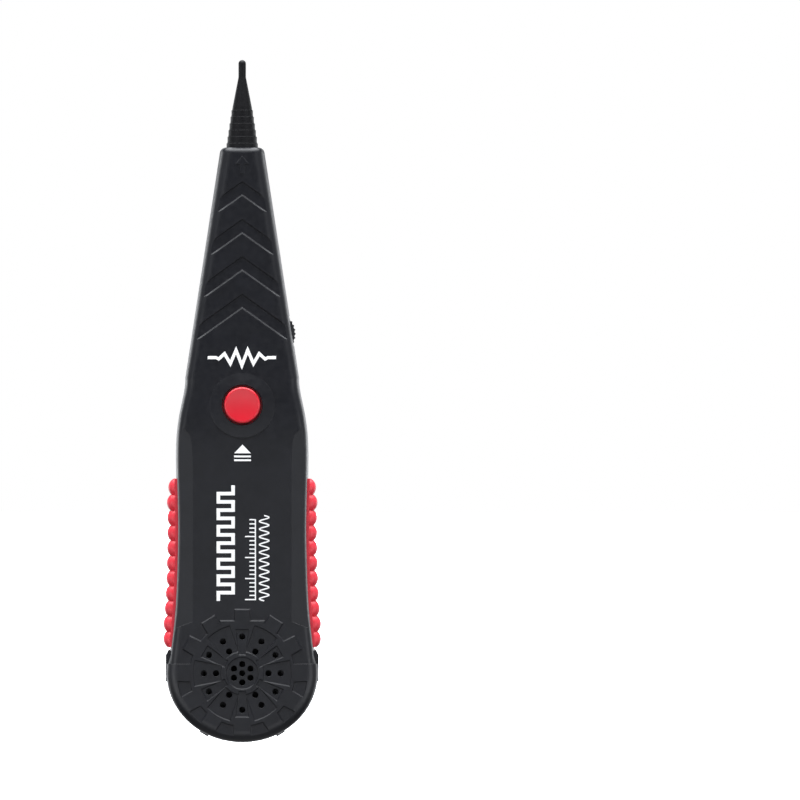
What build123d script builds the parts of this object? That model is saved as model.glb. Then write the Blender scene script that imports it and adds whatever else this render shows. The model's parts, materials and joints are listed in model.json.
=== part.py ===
from build123d import *
import os
from math import atan2, cos, degrees, radians, sin, tan

# Receiver of a circuit breaker finder, in millimetres. X runs across the front, -Y is the
# front and Z is up, towards the pickup tip. Heights are measured from the lower end of the
# round head; every part is moved down by ORIGIN_HEIGHT when it is written, so the origin is
# in the middle of the hand grips, on the plane where the two shells meet.
ORIGIN_HEIGHT = 57.0

# Long body
BODY_TOP = 189.9
TOP_HALF_WIDTH = 6.9
TOP_EDGE = 2.0
TAPER_START = 116.0             # the straight loft to the tip starts here
SECTIONS = 10                   # level sections below it
SHOULDER_HEIGHT = 99.6          # the straight taper to the tip starts here
SIDE_POINTS = [                 # half-width and height, from the head up to the taper
    (23.65, 23.5), (22.95, 30.5), (21.95, 39.0), (21.2, 51.5),
    (20.85, 70.5), (21.2, 88.0), (20.75, SHOULDER_HEIGHT),
]
HALF_DEPTH = 16.0
TOP_HALF_DEPTH = 6.4
DEPTH_TAPER_HEIGHT = 100.0
DEPTH_BEND = 9.0                # half the length of the bend between flat and taper
DRAFT = 0.5                     # how much narrower the faces are than the parting plane
EDGE_RADIUS = 2.5
TIP_EXTRA_RADIUS = 1.2
WALL = 1.8
RELIEF = 0.45                   # height of the raised and sunk surface patterns

# Round head
HEAD_HEIGHT = 22.1              # of its centre
HEAD_HALF_WIDTH = 23.75
HEAD_HALF_HEIGHT = 21.7
HEAD_HALF_DEPTH = 15.9
HEAD_RIM = 3.2
TOOTH_ANGLES = (57.6, 28.8, 0, -28.8, -57.6)    # of the right half; two more at 90 and -90
GEAR_ROOT = 17.0
GULLET_REACH = 7.3
GEAR_TIP = 20.6
TOOTH_ROOT_HALF = 2.95
TOOTH_TIP_HALF = 2.65
GEAR_INNER = 4.0                # the teeth stop this far from the parting plane
WALL_LEAN = 40.0                # of the walls of the gear and its pockets, in degrees
TAB_HALF_WIDTH = 24.4
TAB_BOTTOM, TAB_TOP_HEIGHT = 19.4, 29.2
TAB_DEPTH = 12.0
TIP_REACH = 23.1

# Speaker grille
HUB_RADIUS = 4.95
PETAL_IN, PETAL_OUT = 7.0, 15.5
SPOKE_IN, SPOKE_OUT = 6.0, 13.8
POCKET_FLOOR = 16.1
DIMPLE_DEPTH = 0.4
HOLE_RADIUS = 1.0
HOLE_RINGS = [(3.05, 6, 30), (8.35, 6, 0), (12.25, 12, 0)]  # radius, count, first angle
HOLE_SQUASH = 0.953             # the rings are a little lower than they are wide

# Chevrons
CHEVRON_APEXES = [138.6, 150.6, 162.5, 174.6]
CHEVRON_BAND = 4.3
CHEVRON_SLOPE = 35.6
CHEVRON_MARGIN = 1.1

# Side facets of the lower front
FACET_X = 15.7
FACET_TOP_X = 19.9
FACET_TOP, FACET_BEND, FACET_BOTTOM = 101.6, 96.9, 38.6
FACET_DROP = 0.95

# Button
BUTTON_HEIGHT = 107.5
BUTTON_RADIUS = 5.75
BUTTON_HOLE = 6.5
MOUND_RADIUS, MOUND_RISE = 10.4, 0.8

# Thumbwheel
WHEEL_X, WHEEL_HEIGHT = 9.7, 130.3
WHEEL_RADIUS, WHEEL_HALF = 7.4, 1.9
WHEEL_GAP = 0.5
SHAFT_RADIUS = 1.5

# Hand grips
GRIP_RIBS = 11
GRIP_TOP, GRIP_BOTTOM = 84.0, 30.2
GRIP_RIB_PITCH = 4.84
GRIP_FIRST_RIB = 81.2
GRIP_PROUD, GRIP_END_PROUD = 3.1, 2.5   # the first and last ribs are flatter
GRIP_RIB_RADIUS = 3.2
GRIP_HALF_DEPTH = 10.0
GRIP_RIB_HALF_DEPTH = 8.6
GRIP_BORDER = 0.45
GRIP_SEAT = 1.0                 # how deep the grips sit in the body

# Battery door and compartment
DOOR_HALF = 14.7
DOOR_TOP, DOOR_BOTTOM = 98.9, 35.4
DOOR_THICK = 1.6
DOOR_GAP = 0.3
TONGUE_HALF, TONGUE_BOTTOM = 7.35, 32.9
SLOT_BOTTOM = 30.4
SCOOP_BOTTOM, SCOOP_STRAIGHT = 22.4, 28.2
SCOOP_FLOOR, SLOT_FLOOR = 13.7, 12.9
TRAY_HALF, TRAY_WALL = 14.2, 1.2
TRAY_FRONT = -4.1
TRAY_TOP, TRAY_BOTTOM = 97.6, 36.6
BATTERY_SIZE = (26.5, 17.5, 46.4)
BATTERY_BOTTOM = 37.0
BATTERY_BACK = 13.6
LABEL_HALF, LABEL_BOTTOM, LABEL_TOP = 9.8, 46.8, 87.1
LABEL_SEAT = 15.85

# Circuit board
BOARD_FRONT, BOARD_BACK = -7.2, -5.6
BOARD_BOTTOM, BOARD_TOP = 39.0, 153.0

# Case screw
SCREW_HEIGHT = 158.1
SCREW_SEAT = 2.25
SCREW_HEAD = 1.85
SCREW_SHANK = 1.0

# Pickup tip
BOOT_RADIUS = 5.05
BOOT_TOP = 217.9
BOOT_BOTTOM = 181.5
BOOT_FLARE_TOP = 212.4
BOOT_ROD = 1.2
BOOT_CORE, BOOT_NECK = 4.8, 3.05       # radius between the rings and above them
BOOT_NECK_HEIGHT = 202.9
BOOT_RINGS = 6
BOOT_RING_PITCH, BOOT_RING_WIDTH, BOOT_RING_STEP = 2.12, 1.4, 0.22
BOOT_FIRST_RING = 191.2
PICKUP_ROD = 0.8
COIL_BOTTOM, COIL_TOP = 168.0, 179.0
COIL_LEAD_X, COIL_LEAD_END = 4.1, 146.0

FAR = 60.0                      # longer than any cut needs to be


def front_face(points):
    """A face in the X-Z plane from (x, height) points."""
    return make_face(Polyline(*[(x, 0, z) for x, z in points], close=True))


def along_y(face, y_from, y_to):
    """The face, drawn in the X-Z plane, made solid between two depths."""
    return extrude(Pos(0, y_from, 0) * face, amount=y_to - y_from, dir=(0, 1, 0))


def block(x_from, x_to, y_from, y_to, z_from, z_to):
    size = (x_to - x_from, y_to - y_from, z_to - z_from)
    middle = ((x_from + x_to) / 2, (y_from + y_to) / 2, (z_from + z_to) / 2)
    return Pos(*middle) * Box(*size)


def rod_y(radius, y_from, y_to, x=0.0, z=0.0):
    """A cylinder along Y."""
    middle = Pos(x, (y_from + y_to) / 2, z)
    return middle * Rot(90, 0, 0) * Cylinder(radius, y_to - y_from)


def rod_z(radius, z_from, z_to, x=0.0, y=0.0):
    return Pos(x, y, (z_from + z_to) / 2) * Cylinder(radius, z_to - z_from)


def around(radius, angle, centre_height=HEAD_HEIGHT):
    """The X and height of a point on a circle about the centre of the head."""
    turn = radians(angle)
    return radius * cos(turn), centre_height + radius * sin(turn)


DEPTH_SLOPE = (HALF_DEPTH - TOP_HALF_DEPTH) / (BODY_TOP - DEPTH_TAPER_HEIGHT)
FACE_TILT = degrees(atan2(HALF_DEPTH - TOP_HALF_DEPTH, BODY_TOP - DEPTH_TAPER_HEIGHT))


def front_depth(height):
    """How far the front face is from the parting plane; a soft bend starts the taper."""
    past = height - DEPTH_TAPER_HEIGHT + DEPTH_BEND
    if past <= 0:
        return HALF_DEPTH
    if past < 2 * DEPTH_BEND:
        return HALF_DEPTH - DEPTH_SLOPE * past ** 2 / (4 * DEPTH_BEND)
    return HALF_DEPTH - DEPTH_SLOPE * (height - DEPTH_TAPER_HEIGHT)


def half_width(height):
    """Half-width of the long body at the parting plane: a smooth curve, then the taper."""
    lean = (TOP_HALF_WIDTH - SIDE_POINTS[-1][0]) / (BODY_TOP - SHOULDER_HEIGHT)
    if height >= SHOULDER_HEIGHT:
        return SIDE_POINTS[-1][0] + lean * (height - SHOULDER_HEIGHT)
    last = len(SIDE_POINTS) - 1
    at = max(i for i in range(last) if height >= SIDE_POINTS[i][1] or i == 0)
    ends = [SIDE_POINTS[at], SIDE_POINTS[at + 1]]
    slopes = []
    for index in (at, at + 1):
        before, after = SIDE_POINTS[max(index - 1, 0)], SIDE_POINTS[min(index + 1, last)]
        slope = (after[0] - before[0]) / (after[1] - before[1])
        slopes.append(lean if index == last else slope)
    span = ends[1][1] - ends[0][1]
    t = (height - ends[0][1]) / span
    return (ends[0][0] * (1 + 2 * t) * (1 - t) ** 2 + ends[1][0] * t ** 2 * (3 - 2 * t)
            + span * (slopes[0] * t * (1 - t) ** 2 + slopes[1] * t ** 2 * (t - 1)))


# ---- outer form -------------------------------------------------------------------------


def body_section(height, inset):
    """Level section of the long body: drafted sides and rounded corners."""
    wide = half_width(height) - inset
    deep = front_depth(height) - inset
    tipward = max(0.0, (height - DEPTH_TAPER_HEIGHT) / (BODY_TOP - DEPTH_TAPER_HEIGHT))
    corner = max(EDGE_RADIUS + tipward * TIP_EXTRA_RADIUS - inset, 0.5)
    face_x = wide - DRAFT
    right = (Line((0, -deep), (face_x - corner, -deep))
             + RadiusArc((face_x - corner, -deep), (face_x, corner - deep), -corner)
             + Line((face_x, corner - deep), (wide, 0)))
    right += mirror(right, Plane.XZ)
    return Pos(0, 0, height) * make_face(right + mirror(right, Plane.YZ))


def trunk_solid(inset):
    """The long body: a smooth loft up to the taper, then a straight one to the top."""
    low = SIDE_POINTS[0][1]
    heights = [low + i * (TAPER_START - low) / SECTIONS for i in range(SECTIONS + 1)]
    lower = loft([body_section(z, inset) for z in heights])
    top = BODY_TOP - inset
    upper = loft([body_section(TAPER_START, inset), body_section(top, inset)], ruled=True)
    lid = upper.faces().sort_by(Axis.Z)[-1]
    return lower + fillet(lid.edges(), max(TOP_EDGE - inset, 0.3))


def head_solid(inset, half_depth=HEAD_HALF_DEPTH):
    """The round head: a thick disc with a rounded rim, a little wider than it is high."""
    deep = half_depth - inset
    outline = Plane.XZ * Ellipse(HEAD_HALF_WIDTH - inset, HEAD_HALF_HEIGHT - inset)
    disc = along_y(outline, -deep, deep)
    rims = [e for e in disc.edges() if abs(abs(e.center().Y) - deep) < 0.01]
    return Pos(0, 0, HEAD_HEIGHT) * fillet(rims, HEAD_RIM - inset)


FORMS = {}


def body_solid(inset):
    """The whole outer form, moved inwards by inset. The cavity is the same form, smaller."""
    if inset not in FORMS:
        FORMS[inset] = trunk_solid(inset) + head_solid(inset)
    return FORMS[inset]


def gear_face(tip):
    """The gear shape on the head's face, with teeth out to the given radius."""
    shape = Plane.XZ * Circle(GEAR_ROOT)
    angles = list(TOOTH_ANGLES) + [180 - a for a in TOOTH_ANGLES] + [90, -90]
    for angle in angles:
        tooth = front_face([(GEAR_ROOT - 2, -TOOTH_ROOT_HALF), (tip, -TOOTH_TIP_HALF),
                            (tip, TOOTH_TIP_HALF), (GEAR_ROOT - 2, TOOTH_ROOT_HALF)])
        shape = shape + Rot(0, -angle, 0) * tooth
    return Pos(0, 0, HEAD_HEIGHT) * shape


def flared(face, start, rise, taper):
    """Both the front and the back extrusion of a face whose walls lean by taper degrees."""
    front = extrude(Pos(0, -start, 0) * face, amount=rise, dir=(0, -1, 0), taper=taper)
    back = extrude(Pos(0, start, 0) * face, amount=rise, dir=(0, 1, 0), taper=taper)
    return front + back


def toothed_disc(tip):
    """A gear as thick as the head, with leaning walls where it stands out of the face."""
    rise = HALF_DEPTH + RELIEF - HEAD_HALF_DEPTH
    face = gear_face(tip).faces()[0]
    core = along_y(face, -HEAD_HALF_DEPTH, HEAD_HALF_DEPTH)
    return core + flared(face, HEAD_HALF_DEPTH, rise, WALL_LEAN)


def lower_gullets():
    """Outlines of the hollows between the lower teeth, closed off by the raised rim."""
    ring = Plane.XZ * Circle(GEAR_TIP) - Plane.XZ * Circle(GEAR_ROOT)
    gaps = Pos(0, 0, HEAD_HEIGHT) * ring - gear_face(GEAR_TIP + 5)
    return [gap for gap in gaps.faces() if gap.center().Z < HEAD_HEIGHT]


def rim_blocks():
    """Tabs at the sides of the head, and the tips of two teeth that stand out below."""
    tabs = []
    for side in (-1, 1):
        tab = front_face([(side * 20, TAB_BOTTOM), (side * TAB_HALF_WIDTH, TAB_BOTTOM),
                          (side * TAB_HALF_WIDTH, TAB_TOP_HEIGHT - 1.6),
                          (side * (TAB_HALF_WIDTH - 0.8), TAB_TOP_HEIGHT),
                          (side * 20, TAB_TOP_HEIGHT)])
        tip = front_face([(18, -1.9), (TIP_REACH, -1.5), (TIP_REACH, 1.5), (18, 1.9)])
        turn = TOOTH_ANGLES[-1] if side > 0 else 180 - TOOTH_ANGLES[-1]
        tip = Pos(0, 0, HEAD_HEIGHT) * Rot(0, -turn, 0) * tip
        for face in (tab, tip):
            tabs.append(along_y(face, GEAR_INNER, TAB_DEPTH))
            tabs.append(along_y(face, -TAB_DEPTH, -GEAR_INNER))
    return tabs


def gear_solid():
    """The raised gear: free teeth above, a raised rim with hollows below. A ledge gives the
    gullets beside the top tooth their level bottoms."""
    level = HEAD_HEIGHT + TOOTH_ROOT_HALF
    upper = toothed_disc(GEAR_TIP) & block(-FAR, FAR, -FAR, FAR, level, FAR)
    ledge = front_face([(-GULLET_REACH, HEAD_HEIGHT + 12), (GULLET_REACH, HEAD_HEIGHT + 12),
                        (GULLET_REACH, HEAD_HEIGHT + GEAR_ROOT),
                        (-GULLET_REACH, HEAD_HEIGHT + GEAR_ROOT)])
    upper += flared(ledge, HEAD_HALF_DEPTH, HALF_DEPTH + RELIEF - HEAD_HALF_DEPTH, WALL_LEAN)
    lower = head_solid(-RELIEF, HALF_DEPTH) & block(-FAR, FAR, -FAR, FAR, -5, level)
    for gap in lower_gullets():
        lower -= flared(gap, POCKET_FLOOR, 0.6, -WALL_LEAN)
    gear = upper + lower
    for tab in rim_blocks():
        gear += tab
    return gear - block(-FAR, FAR, -GEAR_INNER, GEAR_INNER, -5, FAR)


def wedge_face(inner, outer, half_in, half_out, angle):
    """One pocket of the grille: a wedge with parallel or flaring sides."""
    side = front_face([(inner, -half_in), (outer, -half_out), (outer, half_out),
                       (inner, half_in)])
    return Rot(0, -angle, 0) * side


def grille_pockets():
    """Outlines of the sunk hub, petals and spokes of the grille."""
    ring = Plane.XZ * Circle(PETAL_OUT) - Plane.XZ * Circle(PETAL_IN)
    faces = [Plane.XZ * Circle(HUB_RADIUS)]
    for index in range(6):
        petal = wedge_face(PETAL_IN - 1, PETAL_OUT + 1, 2.25, 4.25, index * 60)
        faces.append(petal & ring)
        faces.append(wedge_face(SPOKE_IN, SPOKE_OUT, 1.0, 1.9, index * 60 + 30))
    return [Pos(0, 0, HEAD_HEIGHT) * face for face in faces]


def grille_holes(y_from, y_to, radius):
    places = [(0.0, HEAD_HEIGHT)]
    for ring, count, first in HOLE_RINGS:
        for index in range(count):
            x, z = around(ring, first + index * 360 / count)
            places.append((x, HEAD_HEIGHT + HOLE_SQUASH * (z - HEAD_HEIGHT)))
    return [rod_y(radius, y_from, y_to, x, z) for x, z in places]


def on_front(height):
    """A place on the sloping upper front, with local Z pointing straight out of it."""
    return Pos(0, -front_depth(height), height) * Rot(90 - FACE_TILT, 0, 0)


def chevron_cutter(apex):
    """One sunk V band of the front; its walls lean so that they catch light from above."""
    drop = tan(radians(CHEVRON_SLOPE))
    reach = half_width(apex - 10) - CHEVRON_MARGIN - DRAFT
    lean = RELIEF / 2 / cos(radians(CHEVRON_SLOPE))
    low, high = lean, CHEVRON_BAND - lean
    outline = [(0, high), (reach, high - reach * drop), (reach, low - reach * drop), (0, low),
               (-reach, low - reach * drop), (-reach, high - reach * drop)]
    floor = make_face(Polyline(*[(x, y, -RELIEF) for x, y in outline], close=True))
    band = extrude(floor, amount=3 * RELIEF, dir=(0, 0, 1), taper=-45)
    return on_front(apex) * band


def arrow_face():
    """The small arrow below the tip."""
    return front_face([(0, 187.0), (2.1, 184.6), (0.7, 184.6), (0.7, 181.6),
                       (-0.7, 181.6), (-0.7, 184.6), (-2.1, 184.6)])


def facet_cutters():
    """The two sloping side facets of the lower front."""
    cutters = []
    for side in (-1, 1):
        steep = side * (FACET_X + FAR)
        slope = FACET_DROP / (half_width(70) - FACET_X)
        wedge = make_face(Polyline((side * FACET_X, -HALF_DEPTH, 0),
                                   (steep, -HALF_DEPTH + slope * FAR, 0),
                                   (steep, -HALF_DEPTH - 5, 0),
                                   (side * FACET_X, -HALF_DEPTH - 5, 0), close=True))
        wedge = extrude(wedge, amount=120, dir=(0, 0, 1))
        out = 40
        rise = (FACET_TOP - FACET_BEND) / (FACET_TOP_X - FACET_X)
        region = front_face([(side * FACET_X, FACET_BOTTOM), (side * FACET_X, FACET_BEND),
                             (side * out, FACET_BEND + rise * (out - FACET_X)),
                             (side * out, FACET_BOTTOM - 0.4 * (out - FACET_X))])
        cutters.append(wedge & along_y(region, -FAR, 0))
    return cutters


def button_mound():
    """A shallow dome round the button, square to the sloping face."""
    curve = (MOUND_RADIUS ** 2 + MOUND_RISE ** 2) / (2 * MOUND_RISE)
    dome = Pos(0, 0, MOUND_RISE - curve) * Sphere(curve)
    dome = dome & Pos(0, 0, -1) * Cylinder(MOUND_RADIUS, 6)
    return on_front(BUTTON_HEIGHT) * dome


# ---- grips ------------------------------------------------------------------------------


def grip_outline(offset):
    """Side strip from GRIP_BOTTOM to GRIP_TOP, its outer edge offset from the body's."""
    heights = [GRIP_BOTTOM + i * (GRIP_TOP - GRIP_BOTTOM) / 6 for i in range(7)]
    outer = [(half_width(z) + offset, 0, z) for z in heights]
    inner = 12.0
    edge = Spline(*outer)
    rest = Polyline(outer[-1], (inner, 0, GRIP_TOP), (inner, 0, GRIP_BOTTOM), outer[0])
    return make_face(edge + rest)


def grip(side):
    """One soft pad with its rounded ribs, seated in the side of the body."""
    pad = along_y(grip_outline(GRIP_BORDER), -GRIP_HALF_DEPTH, GRIP_HALF_DEPTH)
    for index in range(GRIP_RIBS):
        z = GRIP_FIRST_RIB - index * GRIP_RIB_PITCH
        proud = GRIP_END_PROUD if index in (0, GRIP_RIBS - 1) else GRIP_PROUD
        x = half_width(z) + proud - GRIP_RIB_RADIUS
        rib = Cylinder(GRIP_RIB_RADIUS, 2 * GRIP_RIB_HALF_DEPTH)
        rib = fillet(rib.edges().filter_by(GeomType.CIRCLE), GRIP_RIB_RADIUS - 0.6)
        pad += Pos(x, 0, z) * Rot(90, 0, 0) * rib
    pad &= block(0, FAR, -FAR, FAR, GRIP_BOTTOM, GRIP_TOP)
    pad -= BODY_SEAT
    return pad if side > 0 else mirror(pad, Plane.YZ)


# ---- shells -----------------------------------------------------------------------------


def door_outline(gap):
    """Outline of the battery door with its latch tongue."""
    panel = block(-DOOR_HALF - gap, DOOR_HALF + gap, 0, 1, DOOR_BOTTOM - gap, DOOR_TOP + gap)
    corners = [e for e in panel.edges().filter_by(Axis.Y) if e.center().Z < DOOR_BOTTOM + 1]
    panel = fillet(corners, 1.2)
    tongue = block(-TONGUE_HALF - gap, TONGUE_HALF + gap, 0, 1,
                   TONGUE_BOTTOM - gap, DOOR_BOTTOM + 1)
    return (panel + tongue).faces().sort_by(Axis.Y)[0]


def scoop_solid(grow, floor):
    """The D-shaped finger scoop under the latch, from its floor out past the back."""
    half = TONGUE_HALF + grow
    round_height = SCOOP_STRAIGHT - SCOOP_BOTTOM + grow
    arc = EllipticalCenterArc((0, 0), half, round_height, 180, arc_size=180)
    arc = Pos(0, 0, SCOOP_STRAIGHT) * Rot(90, 0, 0) * arc
    top = TONGUE_BOTTOM + grow
    lid = Polyline((half, 0, SCOOP_STRAIGHT), (half, 0, top), (-half, 0, top),
                   (-half, 0, SCOOP_STRAIGHT))
    return along_y(make_face(arc + lid), floor, HALF_DEPTH + 3)


def decorated_body():
    """The outer form with its raised gear, sunk pockets, chevrons, facets and arrow."""
    body = body_solid(0)
    for cutter in facet_cutters():
        body -= cutter
    body += gear_solid()
    for pocket in grille_pockets():
        body -= flared(pocket.faces()[0], POCKET_FLOOR, 0.6, -WALL_LEAN)
    for dimple in grille_holes(POCKET_FLOOR - DIMPLE_DEPTH, FAR, HOLE_RADIUS):
        body -= dimple
    for apex in CHEVRON_APEXES:
        band = chevron_cutter(apex)
        body -= band
        body -= mirror(band, Plane.XZ)
    slab = on_front(CHEVRON_APEXES[0]) * Pos(0, 0, -0.15) * Box(FAR, 4 * FAR, 0.7)
    body += along_y(arrow_face(), -FAR, 0) & slab
    body += button_mound()
    return body


def wheel_pocket():
    """Room for the thumbwheel, open through the side wall."""
    return rod_y(WHEEL_RADIUS + WHEEL_GAP, -WHEEL_HALF - WHEEL_GAP, WHEEL_HALF + WHEEL_GAP,
                 WHEEL_X, WHEEL_HEIGHT)


def boot_seat():
    """The bore for the boot, with a rib that holds it."""
    bore = rod_z(BOOT_RADIUS + 0.1, 182.0, BODY_TOP + 5)
    return bore - (rod_z(FAR, 184.0, 185.5) - rod_z(BOOT_RADIUS - 0.45, 183.9, 185.6))


def front_shell():
    shell = DECORATED & block(-FAR, FAR, -FAR, 0, -5, 200)
    shell -= CAVITY
    shell += front_boss()
    collar = rod_y(15.2, -HALF_DEPTH + 1, -10.6, 0, HEAD_HEIGHT)
    collar -= rod_y(14.15, -HALF_DEPTH - 1, -10, 0, HEAD_HEIGHT)
    shell += collar
    shell += board_posts()
    for hole in grille_holes(-FAR, -10, HOLE_RADIUS):
        shell -= hole
    shell -= on_front(BUTTON_HEIGHT) * Cylinder(BUTTON_HOLE, 12)
    return shell - wheel_pocket() - boot_seat() - GRIP_ROOM


def front_boss():
    """Post for the case screw, with its pilot hole."""
    boss = rod_y(2.8, -front_depth(SCREW_HEIGHT) + 1, 0, 0, SCREW_HEIGHT)
    return boss - rod_y(SCREW_SHANK + 0.08, -6.5, 1, 0, SCREW_HEIGHT)


BOARD_SCREWS = [(-14.0, 92.0), (14.0, 92.0), (0.0, 47.5)]


def board_posts():
    """Posts that the board is screwed to."""
    posts = None
    for x, z in BOARD_SCREWS:
        post = rod_y(2.2, -HALF_DEPTH + 1.5, BOARD_FRONT, x, z)
        post -= rod_y(0.88, -12.5, 0, x, z)
        posts = post if posts is None else posts + post
    return posts


def back_shell():
    shell = DECORATED & block(-FAR, FAR, 0, FAR, -5, 200)
    shell -= CAVITY
    tray = block(-TRAY_HALF - TRAY_WALL, TRAY_HALF + TRAY_WALL, TRAY_FRONT - TRAY_WALL,
                 HALF_DEPTH - DOOR_THICK, TRAY_BOTTOM - TRAY_WALL, TRAY_TOP + TRAY_WALL)
    shell += tray
    shell += scoop_solid(1.4, SLOT_FLOOR - 1.2) & body_solid(WALL / 2)
    boss = rod_y(3.3, 0, front_depth(SCREW_HEIGHT) - 0.5, 0, SCREW_HEIGHT)
    shell += boss
    shell -= block(-TRAY_HALF, TRAY_HALF, TRAY_FRONT, HALF_DEPTH, TRAY_BOTTOM, TRAY_TOP)
    shell -= along_y(door_outline(DOOR_GAP), HALF_DEPTH - DOOR_THICK, HALF_DEPTH + 3)
    shell -= block(-6, 6, -1, 9, TRAY_TOP - 1, TRAY_TOP + TRAY_WALL + 1)
    for side in (-1, 1):
        shell -= block(side * 9 - 2.4, side * 9 + 2.4, 11.6, HALF_DEPTH - DOOR_THICK,
                       DOOR_TOP - 6, DOOR_TOP + 3.2)
    shell -= scoop_solid(0, SCOOP_FLOOR)
    shell -= scoop_solid(0, SLOT_FLOOR) & block(-FAR, FAR, 0, FAR, SLOT_BOTTOM, 40)
    ledge = block(-4.7, 4.7, SCOOP_FLOOR - 0.5, SCOOP_FLOOR + 0.7, 28.0, 29.8)
    shell += ledge
    shell -= rod_y(SCREW_SEAT, 6.4, FAR, 0, SCREW_HEIGHT)
    shell -= rod_y(SCREW_SHANK + 0.3, -1, FAR, 0, SCREW_HEIGHT)
    return shell - wheel_pocket() - boot_seat() - GRIP_ROOM


def battery_door():
    """The door with two hooks that turn behind the edge of its opening."""
    door = DECORATED & along_y(door_outline(0), HALF_DEPTH - DOOR_THICK, HALF_DEPTH + 3)
    door -= label_solid(0.1, LABEL_SEAT, HALF_DEPTH + 1)
    for side in (-1, 1):
        x = side * 9
        inner = HALF_DEPTH - DOOR_THICK
        door += block(x - 2, x + 2, inner - 1.5, inner, DOOR_TOP - 5, DOOR_TOP)
        door += block(x - 2, x + 2, inner - 1.5, inner - 0.35, DOOR_TOP - 1, DOOR_TOP + 2.2)
    return door


# ---- button, switch and thumbwheel ------------------------------------------------------


def test_button():
    """Dished cap, flange behind the wall and a stem down to the switch."""
    depth = front_depth(BUTTON_HEIGHT)
    cap = rod_y(BUTTON_RADIUS, -depth - 2.0, -11.9, 0, BUTTON_HEIGHT)
    rim = cap.edges().filter_by(GeomType.CIRCLE).sort_by(Axis.Y)[0]
    cap = fillet(rim, 0.7)
    dish = Pos(0, -depth - 2.0 - 29.55, BUTTON_HEIGHT) * Sphere(30)
    cap -= dish
    flange = rod_y(7.3, -12.0, -11.3, 0, BUTTON_HEIGHT)
    stem = rod_y(2.0, -11.4, PLUNGER_TOP, 0, BUTTON_HEIGHT)
    return cap + flange + stem


PLUNGER_TOP = -10.9
SWITCH_TOP = -9.8


def switch_plunger():
    return rod_y(1.6, PLUNGER_TOP, -9.0, 0, BUTTON_HEIGHT)


def switch_housing():
    """Square push switch on the board, hollow under its plunger."""
    body = block(-3, 3, SWITCH_TOP, BOARD_FRONT, BUTTON_HEIGHT - 3, BUTTON_HEIGHT + 3)
    body -= rod_y(1.66, SWITCH_TOP - 1, -7.6, 0, BUTTON_HEIGHT)
    for x in (-3.4, 3.4):
        for z in (-2.2, 2.2):
            leg = block(x - 0.4, x + 0.4, BOARD_FRONT - 0.5, BOARD_FRONT,
                        BUTTON_HEIGHT + z - 0.4, BUTTON_HEIGHT + z + 0.4)
            body += leg
    return body


def thumbwheel():
    """Knurled wheel on the shaft of the volume control."""
    ridges = 34
    disc = Circle(WHEEL_RADIUS - 0.3)
    for index in range(ridges):
        turn = radians(index * 360 / ridges)
        ridge = Circle(0.36)
        disc += Pos((WHEEL_RADIUS - 0.36) * cos(turn), (WHEEL_RADIUS - 0.36) * sin(turn)) * ridge
    wheel = extrude(disc, amount=2 * WHEEL_HALF)
    wheel -= Pos(0, 0, WHEEL_HALF) * Cylinder(SHAFT_RADIUS, 4 * WHEEL_HALF)
    dish = Pos(0, 0, 2 * WHEEL_HALF) * (Cylinder(5.4, 1.4) - Cylinder(2.9, 1.4))
    wheel -= dish
    return Pos(WHEEL_X, WHEEL_HALF, WHEEL_HEIGHT) * Rot(90, 0, 0) * wheel


def wheel_shaft():
    return rod_y(SHAFT_RADIUS, -4.6, WHEEL_HALF, WHEEL_X, WHEEL_HEIGHT)


def wheel_screw():
    """Small cap screw on the end of the shaft."""
    head = rod_y(2.4, WHEEL_HALF, WHEEL_HALF + 1.0, WHEEL_X, WHEEL_HEIGHT)
    slot = block(WHEEL_X - 3, WHEEL_X + 3, WHEEL_HALF + 0.5, WHEEL_HALF + 2,
                 WHEEL_HEIGHT - 0.3, WHEEL_HEIGHT + 0.3)
    return head - slot


def volume_control():
    """Rotary control under the wheel, with three pins on the board."""
    body = block(WHEEL_X - 3.8, WHEEL_X + 3.6, BOARD_BACK, -2.5,
                 WHEEL_HEIGHT - 3.8, WHEEL_HEIGHT + 3.8)
    body -= rod_y(SHAFT_RADIUS + 0.05, -4.7, 0, WHEEL_X, WHEEL_HEIGHT)
    for z in (-2.5, 0, 2.5):
        body += block(WHEEL_X - 5.4, WHEEL_X - 3.8, BOARD_BACK, BOARD_BACK + 0.5,
                      WHEEL_HEIGHT + z - 0.4, WHEEL_HEIGHT + z + 0.4)
    return body


# ---- pickup tip -------------------------------------------------------------------------


def boot_core(height):
    """Radius of the boot between its rings."""
    share = (height - BOOT_FIRST_RING) / (BOOT_NECK_HEIGHT - BOOT_FIRST_RING)
    return BOOT_CORE + share * (BOOT_NECK - BOOT_CORE)


def pickup_boot():
    """Flexible boot over the tip: a plug in the body, stepped rings, a cone and a thin end."""
    low = BOOT_FIRST_RING - BOOT_RING_WIDTH
    tip = BOOT_TOP - BOOT_ROD
    profile = Polyline((0, BOOT_BOTTOM), (BOOT_RADIUS, BOOT_BOTTOM), (BOOT_RADIUS, low),
                       (boot_core(low), low), (BOOT_NECK, BOOT_NECK_HEIGHT),
                       (BOOT_ROD, BOOT_FLARE_TOP), (BOOT_ROD, tip))
    profile += RadiusArc((BOOT_ROD, tip), (0, BOOT_TOP), -BOOT_ROD)
    profile += Line((0, BOOT_TOP), (0, BOOT_BOTTOM))
    boot = Rot(90, 0, 0) * revolve(make_face(profile), Axis.Y, 360)
    for index in range(BOOT_RINGS):
        z = BOOT_FIRST_RING + index * BOOT_RING_PITCH
        boot += rod_z(boot_core(z) + BOOT_RING_STEP, z - BOOT_RING_WIDTH, z)
    boot -= rod_z(FAR, 183.95, 185.55) - rod_z(BOOT_RADIUS - 0.6, 183, 186)
    return boot - rod_z(PICKUP_ROD + 0.03, BOOT_BOTTOM - 1, 215.0)


def pickup_rod():
    return rod_z(PICKUP_ROD, 164.5, 214.8)


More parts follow.
